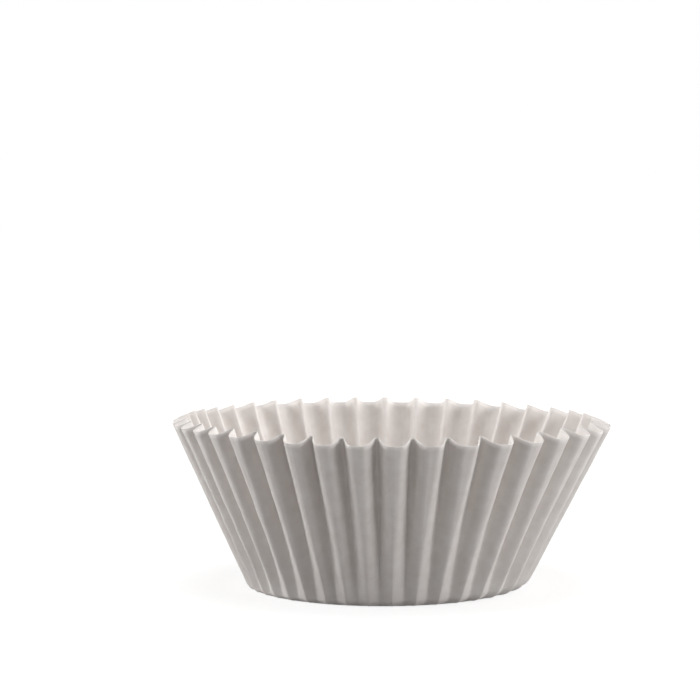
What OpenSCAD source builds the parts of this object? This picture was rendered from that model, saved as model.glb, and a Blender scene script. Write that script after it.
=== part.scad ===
// Pleated cupcake liner: one round sheet of thin baking paper, pressed into a
// flat base and a flaring wall. Nothing is cut or glued. A ring of the flat
// sheet is longer than the cup is round at that height, and the pleats take up
// the difference, so they grow from nothing in the bend round the base to full
// depth at the rim. A pleat is a flat ridge outside and a steep fold between.

/* [Sheet] */
// Diameter of the flat base, measured to the corner where the wall starts
base_d = 50.8; // [40:0.1:65]
// Length of the wall along its slope, from that corner to the rim
wall_slant = 32.8; // [20:0.1:40]
// Thickness of the paper
paper_t = 0.1; // [0.08:0.01:0.2]
// Radius of the bend between base and wall
bend_r = 2.4; // [1.8:0.1:3]

/* [Pleats] */
// Number of pleats round the cup
pleats = 40; // [30:1:45]
// Lean of the ridges, outward from upright
lean = 26; // [18:0.1:32]
// Half width of a ridge at the rim, as a share of the pleats' pitch
rim_ridge = 0.3; // [0.2:0.01:0.36]
// The same at the base, where the ridges almost meet
base_ridge = 0.42; // [0.36:0.01:0.43]
// How soon the ridges' share of the pitch falls above the base
ridge_taper = 2.2; // [1:0.1:4]
// Half width of the rounded crease along each side of a ridge, as a share of the pitch
crease = 0.045; // [0.02:0.005:0.06]

/* [Handmade look] */
// Extra lean of the wall on the +X side, taken off it on the -X side
lean_skew = 1.4; // [0:0.1:1.8]
// Extra bend radius on the +X side, taken off it on the -X side
bend_skew = 1.4; // [0:0.1:1.6]
// How far the pleats crowd round the cup towards the -X side, in degrees
pitch_skew = 6; // [0:0.1:8]
// How far a pleat may stand from that place, in degrees
pitch_drift = 0.5; // [0:0.1:0.7]
// How far the rim may rise or fall along the slope
rim_drift = 0.22; // [0:0.01:0.4]
// How far the lean may wander round the cup, in degrees
lean_drift = 0.3; // [0:0.05:0.5]

/* [Hidden] */
base_r = base_d / 2;
half_pitch = 180 / pleats;
// Bearing of the first ridge from the +X side
first_ridge = 7.2;
// Rings of points across the bend, and from the bend's end up to the rim
bend_rings = 3;
wall_rings = 7;
ring_count = bend_rings + wall_rings;
// More rings lie low on the wall, where the depth of the pleats grows fastest
ring_bias = 1.5;
// Points round a pleat: the ridge's middle, both ends of its two creases, and the valley
section_points = 6;
around = pleats * section_points;
// Halvings of the range in which a pleat's depth is sought
search_steps = 16;
// Radius of the plain round disc in the middle of the base
disc_r = base_r - 5;

// A slow wander between -1 and 1 round the cup, different for each phase
function wander(turn, phase) =
    0.5 * sin(3 * turn + phase) + 0.3 * sin(7 * turn + 2.3 * phase) + 0.2 * sin(11 * turn + 3.1 * phase);

// Lean, bend radius and slope length at a bearing round the cup
function lean_at(turn) = lean + lean_skew * cos(turn) + lean_drift * wander(turn, 40);
function bend_at(turn) = bend_r + bend_skew * cos(turn);
function slant_at(turn) = wall_slant + rim_drift * wander(turn, 155);

// Bearing that an evenly spread point is pushed to, and how wide a pleat is there
function pushed(even) = even + pitch_skew * sin(even) + pitch_drift * wander(even, 80);
function width_at(even) = 1 + pitch_skew * PI / 180 * cos(even);

// Length that the bend takes from the base, and as much from the wall
function bend_reach(turn) = bend_at(turn) * tan((90 - lean_at(turn)) / 2);

// Distance along the slope of ring i: negative where it is still in the base
function along(i, turn) =
    let (reach = bend_reach(turn))
    i <= bend_rings
        ? reach * (2 * i / bend_rings - 1)
        : reach + (slant_at(turn) - reach) * pow((i - bend_rings) / wall_rings, ring_bias);

// Tilt of the ridge line from the flat base, while it is in the bend
function tilt_at(s, turn) =
    let (reach = bend_reach(turn))
    (90 - lean_at(turn)) * (s + reach) / (2 * reach);

// Radius and height of the ridge line: base, bend, then a straight wall
function ridge_line(s, turn) =
    s < bend_reach(turn)
        ? [
            base_r - bend_reach(turn) + bend_at(turn) * sin(tilt_at(s, turn)),
            bend_at(turn) * (1 - cos(tilt_at(s, turn)))
        ]
        : [base_r + s * sin(lean_at(turn)), s * cos(lean_at(turn))];

// Half width of the ridges at a distance up the slope
function ridge_at(s) = rim_ridge + (base_ridge - rim_ridge) * pow(1 - min(max(s / wall_slant, 0), 1), ridge_taper);

// Half a pleat's section, from ridge to valley: each point's place across the
// pitch, and its depth as a share of the full depth. The ridge is flat, its crease
// is a narrow bevel, and the flank runs straight on to the valley.
function half_section(ridge) =
    [[0, 0], [ridge - crease, 0], [ridge + crease, crease / (0.5 - ridge)], [0.5, 1]];

// Distance between two points given as radius and bearing
function chord(a, b) = sqrt(max(a[0] ^ 2 + b[0] ^ 2 - 2 * a[0] * b[0] * cos(a[1] - b[1]), 0));

// Length of paper in half a pleat of a given depth
function folded_length(half, radius, depth) =
    let (bent = [for (place = half) [radius - depth * place[1], place[0] * 2 * half_pitch]])
    chord(bent[0], bent[1]) + chord(bent[1], bent[2]) + chord(bent[2], bent[3]);

// Depth at which half a pleat uses up the flat sheet's own length, by halving
function depth_for(half, radius, paper, low, high, steps) =
    let (middle = (low + high) / 2)
    steps == 0 ? middle
        : folded_length(half, radius, middle) < paper
            ? depth_for(half, radius, paper, middle, high, steps - 1)
            : depth_for(half, radius, paper, low, middle, steps - 1);

// Every line up the wall is as long as the sheet, so a line that leans less
// ends higher: this is its gain in height, which scallops the rim
function rise(s, ridge_out, depth) =
    sqrt(max(s ^ 2 - (ridge_out - depth) ^ 2, 0)) - sqrt(max(s ^ 2 - ridge_out ^ 2, 0));

// Point j of ring i on the outer skin. Past the valley the section is mirrored.
function skin_point(i, j) =
    let (
        step = floor(j / section_points),
        k = j % section_points,
        mirrored = k > section_points / 2,
        middle = first_ridge + (step + 0.5) * 2 * half_pitch,
        s = along(i, pushed(middle)),
        half = half_section(ridge_at(s)),
        place = half[mirrored ? section_points - k : k],
        across = mirrored ? 1 - place[0] : place[0],
        even = first_ridge + (step + across) * 2 * half_pitch,
        turn = pushed(even),
        line = ridge_line(along(i, turn), turn),
        paper = (base_r + s) * half_pitch * PI / 180,
        depth = i > 0 ? depth_for(half, line[0], paper, 0, wall_slant / 4, search_steps) : 0,
        sunk = depth * place[1] * width_at(even),
        // In the bend a valley is sunk square to the paper, and on the wall inwards
        tilt = tilt_at(along(i, turn), turn),
        inward = i <= bend_rings ? sunk * sin(tilt) / cos(lean_at(turn)) : sunk,
        upward = i <= bend_rings ? sunk * cos(tilt) / cos(lean_at(turn)) : rise(s, line[0] - base_r, sunk),
        radius = line[0] - inward,
        height = line[1] + upward
    )
    [radius * cos(turn), radius * sin(turn), height];

function unit(v) = v / norm(v);

// Direction into the cup of the cell between rings i and i + 1, points j and j + 1
function cell_normal(skin, i, j) =
    let (next = (j + 1) % around)
    unit(cross(skin[i + 1][j] - skin[i][next], skin[i + 1][next] - skin[i][j]));

// The same, for the column of cells on one side of a point
function side_normal(skin, i, j) =
    unit(cell_normal(skin, max(i - 1, 0), j) + cell_normal(skin, min(i, ring_count - 1), j));

// Step from the outer skin to the inner one, mitred so that both flanks of a
// crease keep the paper's thickness
function thickening(skin, i, j) =
    let (
        before = side_normal(skin, i, (j + around - 1) % around),
        after = side_normal(skin, i, j)
    )
    i == 0 ? [0, 0, paper_t] : (before + after) * paper_t / (1 + before * after);

// Four-sided faces between the rings of one skin, whose points start at first
function skin_cells(first, ring_total) = [
    for (i = [0 : ring_total - 1], j = [0 : around - 1])
    let (
        here = first + i * around,
        next = (j + 1) % around
    )
    [here + j, here + around + j, here + around + next, here + next]
];

function turned_over(cells) = [for (cell = cells) [for (k = [len(cell) - 1 : -1 : 0]) cell[k]]];

// The pleated wall with its bend and the rim of the base, as one closed skin:
// outer rings, then inner rings
module pleated_wall() {
    outer = [for (i = [0 : ring_count]) [for (j = [0 : around - 1]) skin_point(i, j)]];
    inner = [for (i = [0 : ring_count]) [for (j = [0 : around - 1]) outer[i][j] + thickening(outer, i, j)]];
    first_inner = (ring_count + 1) * around;
    rim = [
        for (j = [0 : around - 1])
        let (
            top = ring_count * around,
            next = (j + 1) % around
        )
        [top + j, first_inner + top + j, first_inner + top + next, top + next]
    ];
    underside = [for (j = [0 : around - 1]) j];
    floor = [for (j = [around - 1 : -1 : 0]) first_inner + j];
    polyhedron(
        [for (ring = concat(outer, inner)) each ring],
        concat([underside, floor], skin_cells(0, ring_count), turned_over(skin_cells(first_inner, ring_count)), rim)
    );
}

// The flat middle of the base
module base_disc() {
    cylinder(r = disc_r, h = paper_t, $fn = 96);
}

// The lean brings the rim out on one side. This shift leaves the middle of the cup's
// box as far past the origin as its balance point is short of it
recentre = 0.35 * wall_slant * (sin(lean + lean_skew) - sin(lean - lean_skew));

module liner() {
    color("#efece8")
    translate([-recentre, 0, 0])
    union() {
        pleated_wall();
        base_disc();
    }
}

liner();
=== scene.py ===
"""A pleated paper cupcake liner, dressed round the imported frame: one sheet of white baking paper."""
import math

import bpy
import numpy as np
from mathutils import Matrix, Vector, noise


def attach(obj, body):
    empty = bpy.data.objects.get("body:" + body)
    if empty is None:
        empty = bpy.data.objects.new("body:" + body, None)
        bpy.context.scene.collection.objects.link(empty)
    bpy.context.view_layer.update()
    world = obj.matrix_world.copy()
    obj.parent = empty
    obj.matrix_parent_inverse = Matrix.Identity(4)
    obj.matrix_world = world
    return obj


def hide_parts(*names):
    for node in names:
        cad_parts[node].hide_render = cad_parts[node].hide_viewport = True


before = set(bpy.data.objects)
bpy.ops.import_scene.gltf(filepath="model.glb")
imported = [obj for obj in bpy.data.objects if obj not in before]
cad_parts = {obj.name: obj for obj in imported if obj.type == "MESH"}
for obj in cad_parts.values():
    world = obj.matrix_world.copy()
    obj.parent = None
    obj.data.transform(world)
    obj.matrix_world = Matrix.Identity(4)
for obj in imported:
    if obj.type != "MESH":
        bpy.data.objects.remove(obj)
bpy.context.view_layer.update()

# The liner's sizes, in metres and degrees, as in the part's source
MM = 0.001
BASE_R = 25.4 * MM
WALL_SLANT = 32.8 * MM
PAPER_T = 0.1 * MM
BEND_R = 2.4 * MM
PLEATS = 40
LEAN = 26.0
LEAN_SKEW = 1.4
BEND_SKEW = 1.4 * MM
PITCH_SKEW = 6.0
PITCH_DRIFT = 0.5
PITCH_PHASE = 80
RIM_DRIFT = 0.22 * MM
RIM_PHASE = 155
LEAN_DRIFT = 0.3
LEAN_PHASE = 40
FIRST_RIDGE = 7.2

# How finely the shown sheet is divided
BEND_RINGS = 8
WALL_RINGS = 40
RING_BIAS = 1.25
RINGS = BEND_RINGS + WALL_RINGS
SHOULDER_STEPS = 8
# Sizes of the rings that close the base, as shares of the outermost one
BASE_STEPS = (0.2, 0.4, 0.6, 0.8)
# Halvings of the range in which a pleat's depth is sought
SEARCH_STEPS = 18

# The shown pleats' section, as shares of their pitch: half the flat crest, which narrows almost
# to a line at the base, the start of the valley's floor, and the rounding of the crest's edge.
# The photograph doesn't settle the crest's width: half of it may be 0.08 to 0.11 at the rim
RIM_CREST = 0.08
BASE_CREST = 0.015
RIM_VALLEY = 0.44
BASE_VALLEY = 0.50
CREST_ROUND = 0.045
# How late on its way up the crest widens: 1 is evenly, and more is later
CREST_GROWTH = 2.0
# How much steeper the shoulders get towards the valley, at the rim and at the base, and
# how far the valley is rounded, as a share of its depth
RIM_STEEPENING = 2.7
BASE_STEEPENING = 1.0
VALLEY_ROUND = 0.15

# What the shown sheet adds to the part: how far ridges bulge, the least of it that they
# may have (a negative one sags), and how far crests and depths differ between pleats
BULGE = 0.05 * MM
LEAST_BULGE = -0.6
CREST_CHANGE = 0.08
DEPTH_CHANGE = 0.05
# How far a crease may sway sideways on its way up, in degrees, the least share of that,
# and how much of a wave it makes
SWAY = 0.18
LEAST_SWAY = 0.3
SWAY_WAVE = 260
# Height of the paper's cockle and of the streaks up its pleats, and their noise's scales
# round the cup and up it, per millimetre
COCKLE = 0.08 * MM
COCKLE_SCALE = (0.25, 0.16)
STREAK = 0.03 * MM
STREAK_SCALE = (0.9, 0.35)
# Keeps the two noises apart
STREAK_SHIFT = 40
SEED = 7

# The paper: its colour where the fibre is thin and where it is dense, how many clouds of
# fibre and grains of tooth there are to a metre, and the share of light that comes through
THIN_COLOUR = (0.80, 0.748, 0.715, 1)
DENSE_COLOUR = (0.87, 0.835, 0.808, 1)
CLOUD_SCALE = 420.0
TOOTH_SCALE = 3800.0
CLOUD_HEIGHT = 1.5
TOOTH_DEPTH = 0.04 * MM
THROUGH_SHARE = 0.04

# The floor: its colour, its glow near the cup and far from it, as a distance in metres and
# a strength, and half of its width
FLOOR_COLOUR = (0.3, 0.296, 0.292, 1)
GLOW_NEAR = (0.08, 0.80)
GLOW_FAR = (0.40, 1.0)
FLOOR_HALF = 3.0

# Soft boxes: side of each, the point that they face, and each one's place and power in watts
LAMP_SIZE = 0.6
LAMP_TARGET = Vector((0, 0, 0.015))
LAMPS = (
    ("top_box", (0, 0, 1.1), 6.8),
    ("front_box", (0, -1, 0.17), 0.35),
    ("left_box", (-1, 0, 0.33), 5.2),
    ("left_front_box", (-0.87, -0.5, 0.33), 1.8),
    ("left_back_box", (-0.94, 0.34, 0.33), 1.1),
    ("right_box", (1, 0, 0.33), 2.3),
    ("right_front_box", (0.87, -0.5, 0.33), 5.1),
    ("right_side_back_box", (0.94, 0.34, 0.33), 1.5),
    ("right_back_box", (0.7, 0.7, 0.33), 2.2),
)

# The photograph's camera: its distance, its tilt down, its lens and the point that it looks at
PHOTO_PIXELS = 700
CAMERA_DISTANCE = 0.450
CAMERA_PITCH = 4.06
FOCAL_PIXELS = 2483
SENSOR_MM = 36.0
AIM = Vector((-0.0072, 0.0, 0.0427))

half_pitch = 180.0 / PLEATS
# The wall leans further out on the +X side: this brings the cup back towards the origin
lean_gap = math.sin(math.radians(LEAN + LEAN_SKEW)) - math.sin(math.radians(LEAN - LEAN_SKEW))
recentre = 0.35 * WALL_SLANT * lean_gap


def sin(degrees):
    return np.sin(np.radians(degrees))


def cos(degrees):
    return np.cos(np.radians(degrees))


def wander(turn, phase):
    """A slow wander between -1 and 1 round the cup."""
    slow = 0.5 * sin(3 * turn + phase)
    return slow + 0.3 * sin(7 * turn + 2.3 * phase) + 0.2 * sin(11 * turn + 3.1 * phase)


def lean_at(turn):
    return LEAN + LEAN_SKEW * cos(turn) + LEAN_DRIFT * wander(turn, LEAN_PHASE)


def bend_at(turn):
    return BEND_R + BEND_SKEW * cos(turn)


def slant_at(turn):
    return WALL_SLANT + RIM_DRIFT * wander(turn, RIM_PHASE)


def pushed(even):
    """Bearing that an evenly spread point is pushed to."""
    return even + PITCH_SKEW * sin(even) + PITCH_DRIFT * wander(even, PITCH_PHASE)


def width_at(even):
    """How wide a pleat is there, against the mean."""
    return 1 + math.radians(PITCH_SKEW) * cos(even)


def bend_reach(turn):
    """Length that the bend takes from the base, and as much from the wall."""
    return bend_at(turn) * np.tan(np.radians((90 - lean_at(turn)) / 2))


def along(turn):
    """Distances of all rings along the slope: negative where they are still in the base."""
    ring = np.arange(RINGS + 1)
    reach = bend_reach(turn)
    up = np.maximum(ring - BEND_RINGS, 0) / WALL_RINGS
    on_bend = reach * (2 * ring / BEND_RINGS - 1)
    on_wall = reach + (slant_at(turn) - reach) * up ** RING_BIAS
    return np.where(ring <= BEND_RINGS, on_bend, on_wall)


def tilt_at(s, turn):
    """Tilt of the ridge line from the flat base: it grows through the bend, and stays on the wall."""
    reach = bend_reach(turn)
    return (90 - lean_at(turn)) * np.clip((s + reach) / (2 * reach), 0, 1)


def ridge_line(s, turn):
    """Radius and height of the ridge line: base, bend, then a straight wall."""
    reach = bend_reach(turn)
    lean = lean_at(turn)
    bend = bend_at(turn)
    tilt = tilt_at(s, turn)
    radius = np.where(s < reach, BASE_R - reach + bend * sin(tilt), BASE_R + s * sin(lean))
    height = np.where(s < reach, bend * (1 - cos(tilt)), s * cos(lean))
    return radius, height


def chord(radius_a, turn_a, radius_b, turn_b):
    """Distance between two points given as radius and bearing."""
    square = radius_a ** 2 + radius_b ** 2 - 2 * radius_a * radius_b * cos(turn_a - turn_b)
    return np.sqrt(np.maximum(square, 0))


def folded_length(places, shares, radius, depth):
    """Length of paper in half a pleat of a given depth."""
    length = 0
    for k in range(len(places) - 1):
        start = radius - depth * shares[k]
        end = radius - depth * shares[k + 1]
        length = length + chord(start, places[k] * 2 * half_pitch, end, places[k + 1] * 2 * half_pitch)
    return length


def depth_for(places, shares, radius, paper):
    """Depth at which half a pleat uses up the flat sheet's own length, by halving."""
    low = 0 * radius
    high = low + WALL_SLANT / 4
    for halving in range(SEARCH_STEPS):
        middle = (low + high) / 2
        short = folded_length(places, shares, radius, middle) < paper
        low = np.where(short, middle, low)
        high = np.where(short, high, middle)
    return (low + high) / 2


def rise(s, ridge_out, depth):
    """Every line up the wall is as long as the sheet, so a line that leans less ends higher."""
    lifted = np.sqrt(np.maximum(s ** 2 - (ridge_out - depth) ** 2, 0))
    return lifted - np.sqrt(np.maximum(s ** 2 - ridge_out ** 2, 0))


def soft_corner(gap, size):
    """0 below a corner and the gap above it, rounded over its size on both sides."""
    bent = (gap + size) ** 2 / (4 * size)
    return np.where(gap <= -size, 0.0, np.where(gap >= size, gap, bent))


def crest_at(up):
    """Half width of the flat crest at a share of the wall's height."""
    return BASE_CREST + (RIM_CREST - BASE_CREST) * up ** CREST_GROWTH


def depth_share(place, crest, up):
    """Depth across half a pleat, from 0 on the crest to 1 in the valley, with rounded folds."""
    valley = BASE_VALLEY + (RIM_VALLEY - BASE_VALLEY) * up
    steepening = BASE_STEEPENING + (RIM_STEEPENING - BASE_STEEPENING) * up
    slope = (soft_corner(place - crest, CREST_ROUND) / (valley - crest)) ** steepening
    return slope - soft_corner(slope - 1, VALLEY_ROUND)


def section_places(crest):
    """Places across half a pleat, from the crest's middle to the valley's."""
    outside = crest + CREST_ROUND
    return [0 * crest, 0.5 * crest, crest] + [
        outside + (0.5 - outside) * step / SHOULDER_STEPS for step in range(SHOULDER_STEPS + 1)
    ]


def sheet_grid():
    """The outer skin's points as an array of rings by columns by 3."""
    draw = np.random.RandomState(SEED)
    ridge_change = CREST_CHANGE * draw.uniform(-1, 1, PLEATS)
    ridge_bulge = BULGE * draw.uniform(LEAST_BULGE, 1, PLEATS)
    depth_change = 1 + DEPTH_CHANGE * draw.uniform(-1, 1, PLEATS)
    sway_phase = draw.uniform(0, 360, PLEATS)
    sway_size = SWAY * draw.uniform(LEAST_SWAY, 1, PLEATS)

    count = len(section_places(np.array([RIM_CREST])))
    grid = np.zeros((RINGS + 1, 2 * PLEATS * (count - 1), 3))
    in_bend = np.arange(RINGS + 1) <= BEND_RINGS
    column = 0
    for pleat in range(PLEATS):
        middle = pushed(FIRST_RIDGE + (pleat + 0.5) * 2 * half_pitch)
        s = along(middle)
        up = np.clip(s / WALL_SLANT, 0, 1)
        places = section_places(crest_at(up))
        shares = [depth_share(place, crest_at(up), up) for place in places]
        paper = (BASE_R + s) * math.radians(half_pitch)
        depth = depth_for(places, shares, ridge_line(s, middle)[0], paper) * depth_change[pleat]
        depth[0] = 0
        # Down from this pleat's ridge to its valley, then up to the next ridge
        down = [(pleat, False, index) for index in range(count - 1)]
        back = [((pleat + 1) % PLEATS, True, index) for index in range(count - 1, 0, -1)]
        for owner, mirrored, index in down + back:
            crest = crest_at(up) * (1 + ridge_change[owner] * up)
            place = section_places(crest)[index]
            across = 1 - place if mirrored else place
            even = FIRST_RIDGE + (pleat + across) * 2 * half_pitch
            turn = pushed(even) + sway_size[owner] * sin(sway_phase[owner] + SWAY_WAVE * up) * up
            own_s = along(turn.mean())
            radius, height = ridge_line(own_s, turn)
            sunk = depth * depth_share(place, crest, up) * width_at(even)
            sunk = sunk - ridge_bulge[owner] * np.clip(1 - (place / crest) ** 2, 0, 1) * up
            # In the bend a valley is sunk square to the paper, and on the wall inwards
            tilt = tilt_at(own_s, turn)
            inward = np.where(in_bend, sunk * sin(tilt) / cos(lean_at(turn)), sunk)
            lifted = rise(np.maximum(s, 0), radius - BASE_R, sunk)
            upward = np.where(in_bend, sunk * cos(tilt) / cos(lean_at(turn)), lifted)
            radius = radius - inward
            height = height + upward
            grid[:, column] = np.stack([radius * cos(turn) - recentre, radius * sin(turn), height], axis=1)
            column += 1
    return grid


def grid_normals(grid):
    """Unit normals of the grid's points, out of the cup."""
    round_step = np.roll(grid, -1, axis=1) - np.roll(grid, 1, axis=1)
    up_step = np.gradient(grid, axis=0)
    normal = np.cross(round_step, up_step)
    return normal / np.linalg.norm(normal, axis=2, keepdims=True)


def cockle(grid):
    """The paper's slight unevenness: a shallow cockle, and streaks that run up the pleats."""
    normal = grid_normals(grid)
    shift = np.zeros(grid.shape[:2])
    cockle_flat, cockle_up = COCKLE_SCALE
    streak_flat, streak_up = STREAK_SCALE
    for i in range(grid.shape[0]):
        strength = min(1.0, i / BEND_RINGS)
        for j in range(grid.shape[1]):
            x, y, z = grid[i, j] / MM
            broad = noise.noise(Vector((x * cockle_flat, y * cockle_flat, z * cockle_up)))
            fine = noise.noise(Vector((x * streak_flat, y * streak_flat, z * streak_up + STREAK_SHIFT)))
            shift[i, j] = strength * (COCKLE * broad + STREAK * fine)
    bumpy = grid + normal * shift[:, :, None]
    bumpy[:, :, 2] = np.maximum(bumpy[:, :, 2], 0)
    return bumpy


def sheet_object(name):
    """The whole sheet as one closed mesh with the paper's thickness."""
    outer = cockle(sheet_grid())
    outer[0, :, 2] = 0
    around = outer.shape[1]
    inward = -grid_normals(outer) * PAPER_T
    inward[0] = (0, 0, PAPER_T)
    inner = outer + inward

    # Rings that close the base, from the bend to the middle
    centre = outer[0].mean(axis=0)
    under = np.array([centre + (outer[0] - centre) * step for step in BASE_STEPS])
    outer = np.concatenate([under, outer])
    inner = np.concatenate([under + (0, 0, PAPER_T), inner])
    rings = outer.shape[0]

    points = np.concatenate([outer.reshape(-1, 3), inner.reshape(-1, 3)])
    first_inner = rings * around
    middle = len(points)
    points = np.concatenate([points, [centre], [centre + (0, 0, PAPER_T)]])
    faces = []
    for i in range(rings - 1):
        for j in range(around):
            k = (j + 1) % around
            quad = (i * around + j, i * around + k, (i + 1) * around + k, (i + 1) * around + j)
            faces.append(quad)
            faces.append(tuple(first_inner + corner for corner in reversed(quad)))
    for j in range(around):
        k = (j + 1) % around
        faces.append((middle, k, j))
        faces.append((middle + 1, first_inner + j, first_inner + k))
    smooth_faces = len(faces)
    top = (rings - 1) * around
    for j in range(around):
        k = (j + 1) % around
        faces.append((top + j, top + k, first_inner + top + k, first_inner + top + j))

    mesh = bpy.data.meshes.new(name)
    mesh.from_pydata(points.tolist(), [], faces)
    # The cut edge at the rim keeps its corners
    mesh.polygons.foreach_set("use_smooth", [index < smooth_faces for index in range(len(faces))])
    mesh.update()
    made = bpy.data.objects.new(name, mesh)
    bpy.context.scene.collection.objects.link(made)
    return made


def new_material(name):
    """An empty node material, with a function that adds a node to it."""
    material = bpy.data.materials.new(name)
    material.use_nodes = True
    tree = material.node_tree
    tree.nodes.clear()

    def add(kind, **values):
        node = tree.nodes.new(kind)
        for key, value in values.items():
            if hasattr(node, key):
                setattr(node, key, value)
            else:
                node.inputs[key.replace("_", " ")].default_value = value
        return node

    return material, tree, add


def paper_material():
    """White baking paper: soft fibre mottle, a fine tooth, and some light through the sheet."""
    material, tree, add = new_material("baking_paper")
    link = tree.links.new
    place = add("ShaderNodeTexCoord")

    # Clouds of denser fibre, as paper shows against the light
    cloud = add("ShaderNodeTexNoise", Scale=CLOUD_SCALE, Detail=5.0, Roughness=0.6)
    link(place.outputs["Object"], cloud.inputs["Vector"])
    tone = add("ShaderNodeValToRGB")
    tone.color_ramp.elements[0].position = 0.3
    tone.color_ramp.elements[0].color = THIN_COLOUR
    tone.color_ramp.elements[1].position = 0.7
    tone.color_ramp.elements[1].color = DENSE_COLOUR
    link(cloud.outputs["Fac"], tone.inputs["Fac"])

    # The tooth of the paper's surface
    tooth = add("ShaderNodeTexNoise", Scale=TOOTH_SCALE, Detail=3.0, Roughness=0.55)
    link(place.outputs["Object"], tooth.inputs["Vector"])
    mix_heights = add("ShaderNodeMath", operation="MULTIPLY_ADD")
    link(cloud.outputs["Fac"], mix_heights.inputs[0])
    mix_heights.inputs[1].default_value = CLOUD_HEIGHT
    link(tooth.outputs["Fac"], mix_heights.inputs[2])
    bump = add("ShaderNodeBump", Strength=0.25, Distance=TOOTH_DEPTH)
    link(mix_heights.outputs[0], bump.inputs["Height"])

    surface = add("ShaderNodeBsdfPrincipled", Roughness=0.5)
    surface.inputs["Specular IOR Level"].default_value = 0.3
    link(tone.outputs["Color"], surface.inputs["Base Color"])
    link(bump.outputs["Normal"], surface.inputs["Normal"])
    through = add("ShaderNodeBsdfTranslucent")
    link(tone.outputs["Color"], through.inputs["Color"])
    mixed = add("ShaderNodeMixShader", Fac=THROUGH_SHARE)
    link(surface.outputs[0], mixed.inputs[1])
    link(through.outputs[0], mixed.inputs[2])
    output = add("ShaderNodeOutputMaterial")
    link(mixed.outputs[0], output.inputs["Surface"])
    return material


def camera_share(add, link):
    """1 for rays that show the backdrop, straight or in gloss or glass, and 0 for rays that light things."""
    path = add("ShaderNodeLightPath")
    total = path.outputs["Is Camera Ray"]
    for other in ("Is Glossy Ray", "Is Transmission Ray"):
        more = add("ShaderNodeMath", operation="MAXIMUM")
        link(total, more.inputs[0])
        link(path.outputs[other], more.inputs[1])
        total = more.outputs[0]
    return total


def floor_material():
    """A floor that shows white and keeps the liner's shadow; its glow fills in where the lamps fall off."""
    material, tree, add = new_material("pale_floor")
    link = tree.links.new
    matte = add("ShaderNodeBsdfDiffuse", Color=FLOOR_COLOUR)
    place = add("ShaderNodeTexCoord")
    distance = add("ShaderNodeVectorMath", operation="LENGTH")
    link(place.outputs["Object"], distance.inputs[0])
    glow_level = add("ShaderNodeMapRange")
    glow_level.inputs["From Min"].default_value = GLOW_NEAR[0]
    glow_level.inputs["From Max"].default_value = GLOW_FAR[0]
    glow_level.inputs["To Min"].default_value = GLOW_NEAR[1]
    glow_level.inputs["To Max"].default_value = GLOW_FAR[1]
    link(distance.outputs["Value"], glow_level.inputs["Value"])
    level = add("ShaderNodeMath", operation="MULTIPLY")
    link(camera_share(add, link), level.inputs[0])
    link(glow_level.outputs["Result"], level.inputs[1])
    glow = add("ShaderNodeEmission", Color=(1, 1, 1, 1))
    link(level.outputs[0], glow.inputs["Strength"])
    both = add("ShaderNodeAddShader")
    link(matte.outputs[0], both.inputs[0])
    link(glow.outputs[0], both.inputs[1])
    output = add("ShaderNodeOutputMaterial")
    link(both.outputs[0], output.inputs["Surface"])
    return material


def set_world():
    """White where the camera sees it, and black as light."""
    world = bpy.data.worlds.new("studio")
    bpy.context.scene.world = world
    world.use_nodes = True
    tree = world.node_tree
    tree.nodes.clear()
    link = tree.links.new

    def add(kind, **values):
        node = tree.nodes.new(kind)
        for key, value in values.items():
            setattr(node, key, value)
        return node

    seen = add("ShaderNodeBackground")
    seen.inputs["Color"].default_value = (1, 1, 1, 1)
    seen.inputs["Strength"].default_value = 1.0
    mixed = add("ShaderNodeMixShader")
    link(camera_share(add, link), mixed.inputs["Fac"])
    link(seen.outputs[0], mixed.inputs[2])
    output = add("ShaderNodeOutputWorld")
    link(mixed.outputs[0], output.inputs["Surface"])


def soft_lamp(name, place, power):
    """A square soft box that faces the cup."""
    light = bpy.data.lights.new(name, "AREA")
    light.shape = "SQUARE"
    light.size = LAMP_SIZE
    light.energy = power
    lamp = bpy.data.objects.new(name, light)
    lamp.location = place
    lamp.rotation_euler = (LAMP_TARGET - Vector(place)).to_track_quat("-Z", "Y").to_euler()
    bpy.context.scene.collection.objects.link(lamp)


def set_camera():
    """The photograph's view: a long lens, a little above the rim."""
    pitch = math.radians(CAMERA_PITCH)
    data = bpy.data.cameras.new("photo_camera")
    data.sensor_width = SENSOR_MM
    data.lens = FOCAL_PIXELS * SENSOR_MM / PHOTO_PIXELS
    data.clip_start = 0.01
    data.clip_end = 50
    camera = bpy.data.objects.new("photo_camera", data)
    back = Vector((0, -math.cos(pitch), math.sin(pitch)))
    camera.location = AIM + back * CAMERA_DISTANCE
    camera.rotation_euler = (-back).to_track_quat("-Z", "Y").to_euler()
    bpy.context.scene.collection.objects.link(camera)
    bpy.context.scene.camera = camera


def add_floor():
    """A wide floor under the liner."""
    corners = [(x * FLOOR_HALF, y * FLOOR_HALF, 0) for x, y in ((-1, -1), (1, -1), (1, 1), (-1, 1))]
    mesh = bpy.data.meshes.new("floor")
    mesh.from_pydata(corners, [], [(0, 1, 2, 3)])
    floor = bpy.data.objects.new("floor", mesh)
    floor.data.materials.append(floor_material())
    bpy.context.scene.collection.objects.link(floor)


set_camera()
bpy.context.scene.view_settings.view_transform = "Standard"

sheet = sheet_object("paper_sheet")
sheet.data.materials.append(paper_material())
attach(sheet, "root")
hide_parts("liner")

add_floor()
set_world()
for lamp_name, lamp_place, lamp_power in LAMPS:
    soft_lamp(lamp_name, lamp_place, lamp_power)
